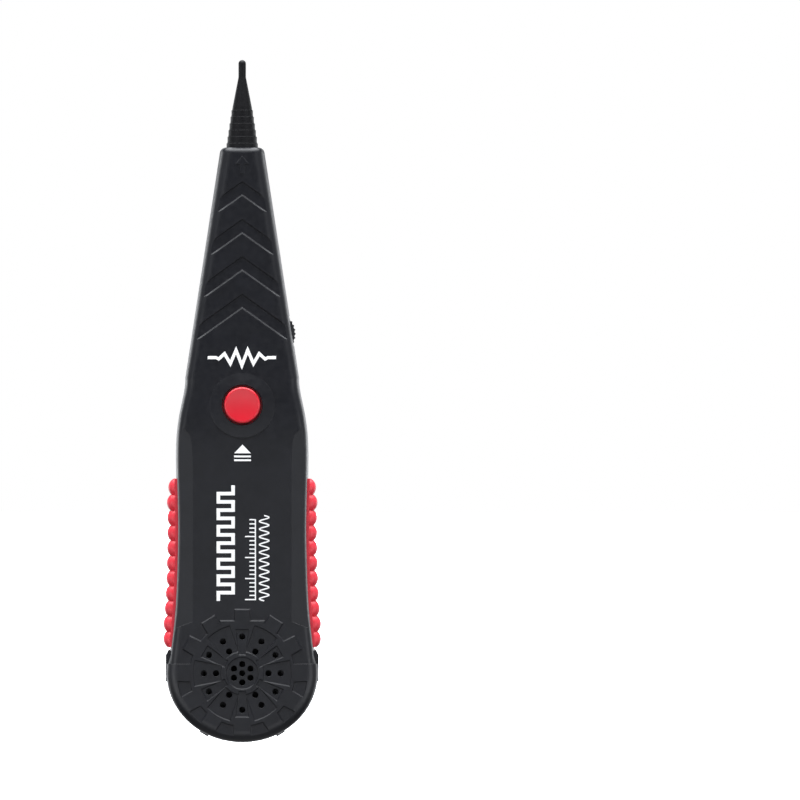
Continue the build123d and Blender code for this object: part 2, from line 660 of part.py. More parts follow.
def pickup_coil():
    """Bobbin and winding on the lower end of the rod."""
    coil = rod_z(3.2, COIL_BOTTOM, COIL_TOP)
    for z in (COIL_BOTTOM, COIL_TOP - 0.8):
        coil += rod_z(4.6, z, z + 0.8)
    return coil - rod_z(PICKUP_ROD + 0.03, 160, 185)


def wire(points, radius):
    """A wire of straight runs joined by arcs as large as the runs allow."""
    path = [Vector(*p) for p in points]
    radii = []
    for before, here, after in zip(path, path[1:], path[2:]):
        turn = radians((here - before).get_angle(after - here))
        short = min((here - before).length, (after - here).length)
        radii.append(0.45 * short / tan(turn / 2))
    line = FilletPolyline(*path, radius=radii) if radii else Line(path[0], path[1])
    start = path[1] - path[0]
    section = Plane(origin=path[0], z_dir=start) * Circle(radius)
    print("wire radii", [round(r, 2) for r in radii], "length", round(line.length, 1))
    return sweep(section, path=line)


def coil_leads():
    """Two wires from the coil past the screw post to the board."""
    leads = []
    for side in (-1, 1):
        x = side * COIL_LEAD_X
        route = [(x, 0, COIL_BOTTOM), (x, 0, COIL_LEAD_END), (x, BOARD_BACK, COIL_LEAD_END)]
        leads.append(wire(route, 0.35))
    return Compound(leads)


# ---- battery ----------------------------------------------------------------------------


def battery():
    width, depth, height = BATTERY_SIZE
    cell = block(-width / 2, width / 2, BATTERY_BACK - depth, BATTERY_BACK,
                 BATTERY_BOTTOM, BATTERY_BOTTOM + height)
    return fillet(cell.edges().filter_by(Axis.Z), 2.5)


BATTERY_TOP = BATTERY_BOTTOM + BATTERY_SIZE[2]
BATTERY_MIDDLE = BATTERY_BACK - BATTERY_SIZE[1] / 2
TERMINAL_X = 6.35
BATTERY_LEAD_END = 103.5


def battery_terminals():
    """The round stud and the wider socket on top of the battery."""
    stud = rod_z(2.8, BATTERY_TOP, BATTERY_TOP + 2.6, -TERMINAL_X, BATTERY_MIDDLE)
    socket = rod_z(4.4, BATTERY_TOP, BATTERY_TOP + 2.6, TERMINAL_X, BATTERY_MIDDLE)
    socket -= rod_z(3.1, BATTERY_TOP + 0.6, BATTERY_TOP + 3, TERMINAL_X, BATTERY_MIDDLE)
    return Compound([stud, socket])


def battery_snap():
    """Cap that presses on the terminals; the leads leave from its top."""
    low, high = BATTERY_TOP + 2.6, BATTERY_TOP + 5.0
    cap = block(-12.4, 12.4, BATTERY_MIDDLE - 5.6, BATTERY_MIDDLE + 5.6, low, high)
    cap = fillet(cap.edges().filter_by(Axis.Z), 4.5)
    ring = rod_z(4.4, BATTERY_TOP + 0.5, low, -TERMINAL_X, BATTERY_MIDDLE)
    ring -= rod_z(2.85, BATTERY_TOP, low + 0.1, -TERMINAL_X, BATTERY_MIDDLE)
    plug = rod_z(2.9, BATTERY_TOP + 0.9, low, TERMINAL_X, BATTERY_MIDDLE)
    return cap + ring + plug


def battery_lead(side):
    """One lead, from the snap through the notch in the tray to the board."""
    x = side * 3.0
    route = [(x, BATTERY_MIDDLE, BATTERY_TOP + 5.0), (x, BATTERY_MIDDLE, BATTERY_LEAD_END),
             (x, BOARD_BACK, BATTERY_LEAD_END)]
    return wire(route, 0.6)


def door_pad():
    """Foam that keeps the battery from rattling."""
    return block(-9, 9, BATTERY_BACK, HALF_DEPTH - DOOR_THICK, 45, 78)


def label_solid(grow, y_from, y_to):
    label = block(-LABEL_HALF - grow, LABEL_HALF + grow, y_from, y_to,
                  LABEL_BOTTOM - grow, LABEL_TOP + grow)
    return fillet(label.edges().filter_by(Axis.Y), 1.6)


def rating_label():
    """Thin label in a shallow recess on the outside of the door."""
    return label_solid(0, LABEL_SEAT, LABEL_SEAT + 0.15)


# ---- electronics ------------------------------------------------------------------------


def circuit_board():
    outline = front_face([(-16.6, BOARD_BOTTOM), (16.6, BOARD_BOTTOM), (17.2, 60), (17.2, 97),
                          (8.4, BOARD_TOP), (-8.4, BOARD_TOP), (-17.2, 97), (-17.2, 60)])
    board = along_y(outline, BOARD_FRONT, BOARD_BACK)
    for x, z in BOARD_SCREWS:
        board -= rod_y(1.1, BOARD_FRONT - 1, BOARD_BACK + 1, x, z)
    return board


def board_screws():
    """Three small screws through the board; the tray clears their flat heads."""
    screws = []
    for x, z in BOARD_SCREWS:
        head = rod_y(1.9, BOARD_BACK, BOARD_BACK + 0.25, x, z)
        screws.append(head + rod_y(0.85, -11.8, BOARD_BACK + 0.1, x, z))
    return Compound(screws)


def chip(x, z, width, height, rise, pins, pitch):
    """A flat package on the front of the board with two rows of pins."""
    body = block(x - width / 2, x + width / 2, BOARD_FRONT - rise, BOARD_FRONT - 0.1,
                 z - height / 2, z + height / 2)
    for side in (-1, 1):
        for index in range(pins):
            pin_z = z + (index - (pins - 1) / 2) * pitch
            edge = x + side * width / 2
            body += block(min(edge, edge + side), max(edge, edge + side), BOARD_FRONT - 0.5,
                          BOARD_FRONT, pin_z - pitch / 5, pin_z + pitch / 5)
    return body


def main_chip():
    return chip(0, 76, 7.5, 12.8, 2.4, 10, 1.27)


def amplifier_chip():
    return chip(-7.0, 58, 3.9, 5.0, 1.6, 4, 1.27)


def capacitors():
    """Four round capacitors, two sizes."""
    places = [(9.5, 60, 3.2, 5.4), (9.5, 68.5, 3.2, 5.4), (-9.5, 118, 2.5, 4.2),
              (-4.0, 118, 2.5, 4.2)]
    return Compound([rod_y(r, BOARD_FRONT - tall, BOARD_FRONT, x, z) for x, z, r, tall in places])


def resistors():
    """Small parts in rows beside the chips."""
    parts = []
    for x, z in [(-10, 70), (-10, 74), (-10, 78), (-10, 82), (9, 80), (9, 84), (3, 128),
                 (-3, 128), (3, 134), (-3, 134), (0, 141), (4, 141)]:
        parts.append(block(x - 1.0, x + 1.0, BOARD_FRONT - 0.6, BOARD_FRONT, z - 0.6, z + 0.6))
    return Compound(parts)


def crystal():
    """Metal can that times the main chip."""
    can = block(-5.5, 5.5, BOARD_FRONT - 3.4, BOARD_FRONT, 88.0, 92.5)
    return fillet(can.edges().filter_by(Axis.Y), 2.2)


def speaker_socket():
    """Two-way connector for the speaker leads."""
    return block(-4, 4, BOARD_FRONT - 3.3, BOARD_FRONT, SOCKET_BOTTOM, SOCKET_BOTTOM + 3.3)


# ---- speaker ----------------------------------------------------------------------------


def ring_y(outer, inner, y_from, y_to):
    return rod_y(outer, y_from, y_to, 0, HEAD_HEIGHT) - rod_y(inner, y_from - 1, y_to + 1, 0,
                                                              HEAD_HEIGHT)


GASKET = 0.8
FLANGE_FRONT = HEAD_HALF_DEPTH - WALL - GASKET      # depth of the basket's front face
SPEAKER_BACK = FLANGE_FRONT - 4.6
LEAD_DEPTH = SPEAKER_BACK - 0.55
TAB_TOP, SOCKET_BOTTOM = 34.4, 41.5


def speaker_gasket():
    return ring_y(14.0, 12.4, -FLANGE_FRONT - GASKET, -FLANGE_FRONT)


def speaker_frame():
    """Steel basket: front flange, side wall and back plate with the magnet's seat."""
    frame = ring_y(14.0, 12.4, -FLANGE_FRONT, 0.8 - FLANGE_FRONT)
    frame += ring_y(14.0, 13.1, 0.7 - FLANGE_FRONT, 3.9 - FLANGE_FRONT)
    frame += ring_y(14.0, 3.0, 3.8 - FLANGE_FRONT, -SPEAKER_BACK)
    tab = block(-4, 4, -SPEAKER_BACK, 1.1 - SPEAKER_BACK, 29.6, TAB_TOP)
    return frame + tab


def speaker_cone():
    """Thin paper cone with a domed dust cap."""
    points = [(12.9, 0.8), (12.9, 1.1), (11.4, 1.1), (4.4, 3.0), (3.4, 3.0),
              (3.4, 2.7), (4.2, 2.7), (11.2, 0.8)]
    face = make_face(Polyline(*[(r, y, 0) for r, y in points], close=True))
    cone = revolve(face, Axis.Y, 360)
    cap = Sphere(5.6) - Sphere(5.3)
    cap = Pos(0, 7.1, 0) * (cap & Pos(0, -7.5, 0) * Box(20, 6.4, 20))
    return Pos(0, -FLANGE_FRONT, HEAD_HEIGHT) * (cone + cap)


def speaker_magnet():
    magnet = rod_y(7.0, -SPEAKER_BACK, 2.9 - SPEAKER_BACK, 0, HEAD_HEIGHT)
    return magnet - block(-FAR, FAR, -FAR, 1.2 - SPEAKER_BACK, 29.4, 40)


def speaker_leads():
    leads = []
    for side in (-1, 1):
        x = side * 2.0
        leads.append(wire([(x, -LEAD_DEPTH, TAB_TOP), (x, -LEAD_DEPTH, SOCKET_BOTTOM)], 0.45))
    return Compound(leads)


# ---- screws -----------------------------------------------------------------------------


def case_screw():
    """Cross-head screw that holds the shells together at the top."""
    head = rod_y(SCREW_HEAD, 6.4, 8.3, 0, SCREW_HEIGHT)
    rim = head.edges().filter_by(GeomType.CIRCLE).sort_by(Axis.Y)[-1]
    head = fillet(rim, 0.7)
    for wide, tall in ((2.2, 0.5), (0.5, 2.2)):
        head -= block(-wide / 2, wide / 2, 7.2, 9, SCREW_HEIGHT - tall / 2,
                      SCREW_HEIGHT + tall / 2)
    return head + rod_y(SCREW_SHANK, -5.5, 6.5, 0, SCREW_HEIGHT)


# ---- build and write --------------------------------------------------------------------

DECORATED = decorated_body()
CAVITY = body_solid(WALL)
BODY_SEAT = body_solid(GRIP_SEAT)
GRIP_ROOM = None
for mirror_side in (-1, 1):
    room = along_y(grip_outline(6.0), -GRIP_HALF_DEPTH - 0.02, GRIP_HALF_DEPTH + 0.02)
    room = room - BODY_SEAT
    room = room if mirror_side > 0 else mirror(room, Plane.YZ)
    GRIP_ROOM = room if GRIP_ROOM is None else GRIP_ROOM + room

NODES = {
    "front_shell": front_shell,
    "back_shell": back_shell,
    "battery_door": battery_door,
    "left_grip": lambda: grip(-1),
    "right_grip": lambda: grip(1),
    "test_button": test_button,
    "switch_plunger": switch_plunger,
    "switch_housing": switch_housing,
    "thumbwheel": thumbwheel,
    "wheel_shaft": wheel_shaft,
    "wheel_screw": wheel_screw,
    "volume_control": volume_control,
    "pickup_boot": pickup_boot,
    "pickup_rod": pickup_rod,
    "pickup_coil": pickup_coil,
    "coil_leads": coil_leads,
    "case_screw": case_screw,
    "circuit_board": circuit_board,
    "board_screws": board_screws,
    "main_chip": main_chip,
    "amplifier_chip": amplifier_chip,
    "capacitors": capacitors,
    "resistors": resistors,
    "crystal": crystal,
    "speaker_socket": speaker_socket,
    "speaker_gasket": speaker_gasket,
    "speaker_frame": speaker_frame,
    "speaker_cone": speaker_cone,
    "speaker_magnet": speaker_magnet,
    "speaker_leads": speaker_leads,
    "battery": battery,
    "battery_terminals": battery_terminals,
    "battery_snap": battery_snap,
    "battery_lead_red": lambda: battery_lead(1),
    "battery_lead_black": lambda: battery_lead(-1),
    "door_pad": door_pad,
    "rating_label": rating_label,
}

os.makedirs("parts", exist_ok=True)
for node, make in NODES.items():
    export_step(Pos(0, 0, -ORIGIN_HEIGHT) * make(), f"parts/{node}.step")
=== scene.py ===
import json
import math

import bmesh
import bpy
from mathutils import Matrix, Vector
from mathutils.bvhtree import BVHTree


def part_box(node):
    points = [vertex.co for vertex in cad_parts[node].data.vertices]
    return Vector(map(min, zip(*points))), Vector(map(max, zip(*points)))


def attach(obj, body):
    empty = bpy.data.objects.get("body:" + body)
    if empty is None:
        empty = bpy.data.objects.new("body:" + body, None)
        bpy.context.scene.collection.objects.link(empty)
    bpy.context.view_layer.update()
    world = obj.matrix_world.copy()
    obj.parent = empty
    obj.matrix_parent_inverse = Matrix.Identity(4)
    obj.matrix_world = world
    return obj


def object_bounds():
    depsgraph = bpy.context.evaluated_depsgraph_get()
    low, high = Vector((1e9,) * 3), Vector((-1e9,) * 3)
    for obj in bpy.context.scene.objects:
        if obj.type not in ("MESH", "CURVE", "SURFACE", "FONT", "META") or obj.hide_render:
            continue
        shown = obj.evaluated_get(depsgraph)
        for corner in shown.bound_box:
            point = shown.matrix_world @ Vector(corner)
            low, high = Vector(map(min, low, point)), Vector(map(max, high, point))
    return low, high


# Looks of the circuit breaker finder's receiver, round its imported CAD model. Metres, in the
# CAD's frame: +Z to the tip, -Y out of the front. Heights in the tables below are in
# millimetres from the lower end of the round head, as in part.py.
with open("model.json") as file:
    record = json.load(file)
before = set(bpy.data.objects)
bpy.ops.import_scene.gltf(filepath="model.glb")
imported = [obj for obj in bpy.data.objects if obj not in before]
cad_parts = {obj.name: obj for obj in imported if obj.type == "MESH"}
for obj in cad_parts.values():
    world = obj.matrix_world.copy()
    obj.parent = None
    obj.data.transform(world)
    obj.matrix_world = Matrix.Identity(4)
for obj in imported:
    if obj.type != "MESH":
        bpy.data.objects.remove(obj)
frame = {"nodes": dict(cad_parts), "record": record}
CAD_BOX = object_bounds()
NODES = frame["nodes"]
SLOT_OF = {row["node"]: row["material_slot"] for row in frame["record"]["subparts"]}
MM = 0.001
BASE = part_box("front_shell")[0].z           # the lower end of the round head

CAMERA_DISTANCE = 4.0                       # metres in front of the body's middle
CAMERA_HEIGHT = 0.1092                      # metres above the lower end of the head
CAMERA_TURN = -0.723                        # degrees, to set the receiver left of the middle
CAMERA_LENS = 562.7

FLOOR_RADIUS = 12.0
FLOOR_DROP = 0.035                          # metres between the object and the floor
RAY_START = 0.05                            # metres from the middle plane, outside the body


# ---- materials --------------------------------------------------------------------------


MIDDLE = (0.3, 0.7)                         # where nearly all values of a noise lie
WAVE_REPEAT = 0.314                         # length of one band of a wave at scale 1
EDGE_SAMPLES = 6


class Look:
    """One procedural material and short calls for the nodes in it."""

    def __init__(self, name):
        self.material = bpy.data.materials.new(name)
        self.material.use_nodes = True
        self.tree = self.material.node_tree
        self.bsdf = self.tree.nodes["Principled BSDF"]
        self.place = self.tree.nodes.new("ShaderNodeTexCoord").outputs["Object"]
        self.normal = None

    def soften(self, radius_mm):
        """Rounds the shading of sharp edges, as a mould leaves them."""
        node = self.tree.nodes.new("ShaderNodeBevel")
        node.samples = EDGE_SAMPLES
        node.inputs["Radius"].default_value = radius_mm * MM
        self.normal = node.outputs["Normal"]
        self.tree.links.new(self.normal, self.bsdf.inputs["Normal"])

    def put(self, value, socket):
        if isinstance(value, bpy.types.NodeSocket):
            self.tree.links.new(value, socket)
        else:
            socket.default_value = value

    def stretched(self, scale):
        """Object coordinates stretched by the three factors."""
        node = self.tree.nodes.new("ShaderNodeMapping")
        self.tree.links.new(self.place, node.inputs["Vector"])
        node.inputs["Scale"].default_value = scale
        return node.outputs["Vector"]

    def noise(self, size_mm, detail=2.0, rough=0.5, place=None):
        """Noise whose grains are about size_mm across."""
        node = self.tree.nodes.new("ShaderNodeTexNoise")
        self.tree.links.new(place or self.place, node.inputs["Vector"])
        node.inputs["Scale"].default_value = 1 / (size_mm * MM)
        node.inputs["Detail"].default_value = detail
        node.inputs["Roughness"].default_value = rough
        return node.outputs["Fac"]

    def cells(self, size_mm):
        """Rounded cells, each about size_mm across."""
        node = self.tree.nodes.new("ShaderNodeTexVoronoi")
        self.tree.links.new(self.place, node.inputs["Vector"])
        node.inputs["Scale"].default_value = 1 / (size_mm * MM)
        return node.outputs["Distance"]

    def bands(self, size_mm, axis):
        """Even bands across the axis, one every size_mm."""
        node = self.tree.nodes.new("ShaderNodeTexWave")
        node.bands_direction = axis
        self.tree.links.new(self.place, node.inputs["Vector"])
        node.inputs["Scale"].default_value = WAVE_REPEAT / (size_mm * MM)
        return node.outputs["Fac"]

    def ranged(self, value, low, high, from_low=0.0, from_high=1.0):
        """The value, moved from one range to another."""
        node = self.tree.nodes.new("ShaderNodeMapRange")
        self.tree.links.new(value, node.inputs["Value"])
        node.inputs["From Min"].default_value = from_low
        node.inputs["From Max"].default_value = from_high
        node.inputs["To Min"].default_value = low
        node.inputs["To Max"].default_value = high
        return node.outputs["Result"]

    def mixed(self, share, first, second):
        node = self.tree.nodes.new("ShaderNodeMix")
        node.data_type = "RGBA"
        self.put(share, node.inputs["Factor"])
        self.put(first, node.inputs["A"])
        self.put(second, node.inputs["B"])
        return node.outputs["Result"]

    def colour(self, value):
        self.put(value, self.bsdf.inputs["Base Color"])

    def set(self, name, value):
        self.put(value, self.bsdf.inputs[name])

    def bump(self, height, depth_mm):
        """Adds relief of the given depth; calls stack on each other."""
        node = self.tree.nodes.new("ShaderNodeBump")
        node.inputs["Strength"].default_value = 1.0
        node.inputs["Distance"].default_value = depth_mm * MM
        self.tree.links.new(height, node.inputs["Height"])
        if self.normal:
            self.tree.links.new(self.normal, node.inputs["Normal"])
        self.normal = node.outputs["Normal"]
        self.tree.links.new(self.normal, self.bsdf.inputs["Normal"])


def rgb(red, green, blue):
    """Linear colour from 0..255 screen values."""
    def linear(value):
        value /= 255
        return value / 12.92 if value <= 0.04045 else ((value + 0.055) / 1.055) ** 2.4
    return (linear(red), linear(green), linear(blue), 1)


def shade(colour, factor):
    return tuple(min(channel * factor, 1) for channel in colour[:3]) + (1,)


def moulded(name, colour, rough, grain_mm=0.22, grain_depth=0.012, spread=0.16, edge=0.2,
            **more):
    """Moulded plastic or rubber: fine eroded grain, soft mottling and uneven gloss."""
    look = Look(name)
    look.soften(edge)
    mottle = look.noise(size_mm=7.0, detail=4.0, rough=0.6)
    fine = look.noise(size_mm=0.6, detail=3.0, rough=0.7)
    look.colour(look.mixed(look.ranged(mottle, 0, 1, *MIDDLE),
                           shade(colour, 1 - spread), shade(colour, 1 + spread)))
    gloss = look.noise(size_mm=1.7, detail=5.0, rough=0.65)
    look.set("Roughness", look.ranged(gloss, rough - 0.05, rough + 0.06, *MIDDLE))
    look.bump(look.cells(grain_mm), grain_depth)
    look.bump(fine, grain_depth * 0.8)
    for socket, value in more.items():
        look.set(socket.replace("_", " "), value)
    return look.material


def metal(name, colour, rough, stretch=(1, 1, 1), grain_mm=0.15, grain_depth=0.004):
    """Plated or drawn metal with fine lines along one direction."""
    look = Look(name)
    look.soften(0.12)
    lines = look.noise(grain_mm, 3.0, 0.6, look.stretched(stretch))
    cloud = look.noise(size_mm=2.5, detail=3.0, rough=0.6)
    look.colour(look.mixed(look.ranged(cloud, 0, 1, *MIDDLE), shade(colour, 0.86), colour))
    look.set("Roughness", look.ranged(lines, rough - 0.07, rough + 0.1, *MIDDLE))
    look.set("Metallic", 1.0)
    look.bump(lines, grain_depth)
    return look.material


def laminate():
    """Green solder mask with faint copper tracks under it."""
    look = Look("board_laminate")
    tracks = look.tree.nodes.new("ShaderNodeTexBrick")
    look.tree.links.new(look.place, tracks.inputs["Vector"])
    tracks.inputs["Scale"].default_value = 260              # rows about 1 mm high
    tracks.inputs["Mortar Size"].default_value = 0.03       # tracks about 0.2 mm wide
    copper = tracks.outputs["Fac"]
    look.colour(look.mixed(copper, rgb(20, 84, 48), rgb(44, 122, 72)))
    look.set("Roughness", look.ranged(look.noise(0.8), 0.25, 0.4))
    look.bump(copper, 0.03)
    look.bump(look.noise(0.3, 4.0), 0.006)
    return look.material


def winding():
    """Enamelled copper wire, turn beside turn."""
    look = Look("copper_winding")
    turn_relief_and_shade = look.bands(0.3, "Z")
    # painted shade and painted highlight: the copper is darker in the grooves between turns and
    # lighter on their crowns, following the same bands as the relief
    look.colour(look.mixed(turn_relief_and_shade, rgb(96, 46, 20), rgb(206, 120, 62)))
    look.set("Metallic", 0.85)
    look.set("Roughness", look.ranged(look.noise(0.5), 0.25, 0.4))
    look.bump(turn_relief_and_shade, 0.08)
    return look.material


def jacket():
    """Battery jacket: dark wrap with a coppery band at the top."""
    look = Look("battery_jacket")
    split = look.tree.nodes.new("ShaderNodeSeparateXYZ")
    look.tree.links.new(look.place, split.inputs["Vector"])
    band_from, band_full = 0.0120, 0.0122                   # metres above the origin
    band = look.ranged(split.outputs["Z"], 0, 1, band_from, band_full)
    wrap = look.mixed(look.noise(5.0, 3.0), rgb(30, 32, 38), rgb(44, 47, 54))
    look.colour(look.mixed(band, wrap, rgb(176, 112, 60)))
    look.set("Metallic", look.ranged(band, 0.1, 0.7))
    look.set("Roughness", look.ranged(look.noise(0.9, 4.0), 0.28, 0.42))
    look.bump(look.noise(0.4, 3.0), 0.008)
    return look.material


BODY_BLACK = rgb(18, 19, 24)
RED = rgb(200, 26, 42)

MATERIALS = {
    "shell_plastic": moulded("shell_plastic", BODY_BLACK, 0.36, grain_depth=0.009,
                             Specular_IOR_Level=0.35),
    "door_plastic": moulded("door_plastic", BODY_BLACK, 0.36, grain_mm=0.2, grain_depth=0.009,
                            Specular_IOR_Level=0.35),
    "grip_rubber": moulded("grip_rubber", rgb(212, 44, 60), 0.42, grain_mm=0.35,
                           grain_depth=0.01, spread=0.06),
    "button_plastic": moulded("button_plastic", RED, 0.33, grain_mm=0.3,
                              grain_depth=0.006, spread=0.05),
    "boot_rubber": moulded("boot_rubber", rgb(8, 8, 11), 0.5, grain_depth=0.014,
                           Specular_IOR_Level=0.18),
    "wheel_plastic": moulded("wheel_plastic", rgb(28, 28, 31), 0.42),
    "bare_steel": metal("bare_steel", rgb(196, 196, 200), 0.28, (1, 12, 1)),
    "black_steel": metal("black_steel", rgb(38, 38, 42), 0.4),
    "board_laminate": laminate(),
    "chip_plastic": moulded("chip_plastic", rgb(28, 28, 30), 0.5, grain_mm=0.12),
    "can_aluminium": metal("can_aluminium", rgb(206, 207, 212), 0.32, (1, 0.1, 1)),
    "copper_winding": winding(),
    "foam": moulded("foam", rgb(36, 36, 39), 0.85, grain_mm=0.5, grain_depth=0.12),
    "speaker_paper": moulded("speaker_paper", rgb(34, 34, 37), 0.75, grain_mm=0.4,
                             grain_depth=0.03),
    "battery_jacket": jacket(),
    "snap_plastic": moulded("snap_plastic", rgb(24, 24, 27), 0.5, grain_depth=0.01),
    "red_insulation": moulded("red_insulation", rgb(190, 26, 28), 0.38, spread=0.06),
    "black_insulation": moulded("black_insulation", rgb(22, 22, 24), 0.4),
    "label_film": moulded("label_film", rgb(26, 27, 31), 0.3, grain_mm=0.5,
                          grain_depth=0.003, spread=0.06),
    "socket_plastic": moulded("socket_plastic", rgb(226, 221, 204), 0.42, spread=0.04),
    "resistor_ceramic": moulded("resistor_ceramic", rgb(32, 32, 38), 0.25, grain_mm=0.1,
                                grain_depth=0.004),
}
WHITE_INK = moulded("white_ink", rgb(236, 236, 236), 0.5, grain_mm=0.15, grain_depth=0.006,
                    spread=0.03)
RED_INK = moulded("red_ink", rgb(206, 28, 44), 0.45, grain_mm=0.15, grain_depth=0.006,
                  spread=0.04)

for node, obj in NODES.items():
    obj.data.materials.clear()
    obj.data.materials.append(MATERIALS[SLOT_OF[node]])


# ---- printed marks ----------------------------------------------------------------------


def bar(x_from, x_to, z_from, z_to):
    return [(x_from, z_from), (x_to, z_from), (x_to, z_to), (x_from, z_to)]


def disc(x, z, radius, corners=24):
    turn = 2 * math.pi / corners
    return [(x + radius * math.cos(i * turn), z + radius * math.sin(i * turn))
            for i in range(corners)]


def ribbon(points, width):
    """A line of that width along the points, with mitred corners, as its two sides."""
    path = [Vector(p) for p in points]
    left, right = [], []
    for index, here in enumerate(path):
        before = (here - path[index - 1]).normalized() if index else None
        after = (path[index + 1] - here).normalized() if index + 1 < len(path) else None
        first, second = before or after, after or before
        across = Vector((-first.y - second.y, first.x + second.x)).normalized()
        reach = width / 2 / max(across.dot(Vector((-first.y, first.x))), 0.3)
        left.append(tuple(here + across * reach))
        right.append(tuple(here - across * reach))
    return {"left": left, "right": right}


def half_frame(side, x_half, z_low, z_high, radius, steps=6):
    """Right or left half of a rectangle with round corners, as a path of points."""
    path = [(0, z_low)]
    for quarter, z in ((-90, z_low + radius), (0, z_high - radius)):
        for step in range(steps + 1):
            turn = math.radians(quarter + step * 90 / steps)
            path.append((side * (x_half - radius + radius * math.cos(turn)),
                         z + radius * math.sin(turn)))
    return path + [(0, z_high)]


def round_frame(x_half, z_low, z_high, radius, width):
    """Two halves of a rectangular line with round corners."""
    halves = []
    for side in (-1, 1):
        outer = half_frame(side, x_half, z_low, z_high, radius)
        inner = half_frame(side, x_half - width, z_low + width, z_high - width,
                           radius - width)
        halves.append({"left": outer, "right": inner})
    return halves


def printed(name, marks, target, side, body, ink, lift_mm=0.05):
    """Thin solid prints laid on a CAD node; side is -1 on the front and 1 on the back.
    A mark is a convex outline, or the two sides of a ribbon."""
    surface = BVHTree.FromObject(NODES[target], bpy.context.evaluated_depsgraph_get())
    mesh = bpy.data.meshes.new(name)
    form = bmesh.new()

    def laid(point, lift):
        start = Vector((point[0] * MM, side * RAY_START, BASE + point[1] * MM))
        hit = surface.ray_cast(start, Vector((0, -side, 0)))[0]
        return form.verts.new((hit.x, hit.y + side * lift * MM, hit.z))

    for mark in marks:
        strip = isinstance(mark, dict)
        outline = mark["left"] + mark["right"][::-1] if strip else mark
        low, high = [[laid(p, lift) for p in outline] for lift in (-0.5 * lift_mm, lift_mm)]
        count = len(outline)
        for index in range(count):
            form.faces.new((low[index - 1], low[index], high[index], high[index - 1]))
        for ring in (low, high):
            if strip:
                for index in range(count // 2 - 1):
                    form.faces.new((ring[index], ring[index + 1], ring[count - 2 - index],
                                    ring[count - 1 - index]))
            else:
                form.faces.new(ring)
    bmesh.ops.recalc_face_normals(form, faces=form.faces)
    form.to_mesh(mesh)
    form.free()
    mesh.materials.append(ink)
    obj = bpy.data.objects.new(name, mesh)
    bpy.context.scene.collection.objects.link(obj)
    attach(obj, body)
    return obj


def burst(x_from, x_to, middle, tall, waves, lead=2.6):
    """A signal burst: a wave that swells and fades between two level ends."""
    start, end = x_from + lead, x_to - lead
    points = [(x_from, middle), (start, middle)]
    for index in range(waves):
        share = (index + 0.5) / waves
        swing = tall * math.sin(math.pi * share) * (1 if index % 2 else -1)
        points.append((start + share * (end - start), middle + swing))
    return points + [(end, middle), (x_to, middle)]


def square_wave(x_low, x_high, z_top, step, count):
    """A square wave that runs down the body."""
    points = [(x_high, z_top)]
    for index in range(count):
        x = (x_high, x_low)[index % 2]
        other = (x_low, x_high)[index % 2]
        z = z_top - (index + 1) * step
        points += [(x, z), (other, z)]
    return points[:-1]


def sine_line(x_middle, swing, z_top, z_bottom, periods, steps=10):
    """A fine wave that runs down the body, with that many steps in a period."""
    pitch = (z_bottom - z_top) / (periods * steps)
    return [(x_middle + swing * math.sin(i * 2 * math.pi / steps), z_top + i * pitch)
            for i in range(periods * steps + 1)]


def level_scale(x_line, z_low, z_high, pitch, ticks, long=3.1, short=1.7, half_line=0.2):
    """Tick marks beside an upright line; every fifth one is long."""
    marks = [bar(x_line, x_line + 2 * half_line, z_low, z_high)]
    for index in range(ticks):
        reach = short if index % 5 else long
        z = z_low + half_line + index * pitch
        marks.append(bar(x_line - reach, x_line, z - half_line, z + half_line))
    return marks


def front_marks():
    """Signal symbols in place of words: a burst, the arrow to the button, waves, a scale."""
    swell = burst(x_from=-11.0, x_to=10.8, middle=122.7, tall=2.5, waves=9)
    arrow = [(-2.6, 92.2), (2.8, 92.2), (0.1, 95.0)]
    square = square_wave(x_low=-7.6, x_high=-2.9, z_top=82.0, step=2.63, count=14)
    sine = sine_line(x_middle=7.0, swing=1.55, z_top=72.4, z_bottom=45.2, periods=11)
    marks = [ribbon(swell, 1.0), arrow]
    marks += [bar(-2.6, 2.8, 90.9, 91.5), bar(-2.6, 2.8, 89.7, 90.3)]
    marks.append(ribbon(square, 1.15))
    marks += level_scale(x_line=4.0, z_low=45.4, z_high=71.2, pitch=1.34, ticks=20)
    marks.append(ribbon(sine, 0.42))
    return marks


